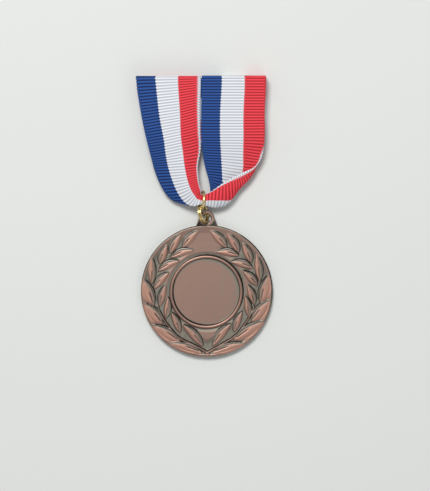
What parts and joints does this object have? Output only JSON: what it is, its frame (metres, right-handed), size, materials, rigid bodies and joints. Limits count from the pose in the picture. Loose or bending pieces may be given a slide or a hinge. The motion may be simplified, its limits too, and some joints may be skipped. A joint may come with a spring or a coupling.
{
  "type": "award medal on a neck ribbon",
  "caption": "Round cast medal with a laurel relief and a flat centre recess, hung by gilt rings from a striped woven neck ribbon, lying flat with the ribbon folded away.",
  "frame": {"origin": "centre of the disc's flat back, on the plane that everything rests on", "axes": "+Z out of the medal's face, +Y from the disc towards the ribbon, +X to the right as seen from the front"},
  "size_m": [0.052, 0.1065, 0.0081],
  "materials": {
    "antique_copper": "antique copper plating over a cast zinc alloy, dark in the recesses and rubbed bright on the relief",
    "gilt_wire": "bright pale gold plating on steel wire",
    "ribbon_cloth": "ribbed woven polyester in blue, white and red stripes",
    "seam_thread": "white sewing thread"
  },
  "bodies": {
    "medal": {"medal": "antique_copper"},
    "split_ring": {"split_ring": "gilt_wire"},
    "jump_ring": {"jump_ring": "gilt_wire"},
    "ribbon": {"ribbon": "ribbon_cloth", "seam_stitching": "seam_thread"}
  },
  "joints": [
    {"name": "tab_hinge", "type": "hinge", "parent": "medal", "child": "split_ring", "pos_m": [-0.00137, 0.02941, 0.00402], "axis": [0.9034, 0.2086, 0.3746], "range_deg": [0, 60]},
    {"name": "link_hinge", "type": "hinge", "parent": "split_ring", "child": "jump_ring", "pos_m": [-0.00151, 0.03415, 0.0041], "axis": [0.9803, -0.1553, -0.1219], "range_deg": [-20, 0]},
    {"name": "gather_hinge", "type": "hinge", "parent": "jump_ring", "child": "ribbon", "pos_m": [-0.0015, 0.0344, 0.006], "axis": [1, 0, 0], "range_deg": [-15, 0]}
  ]
}
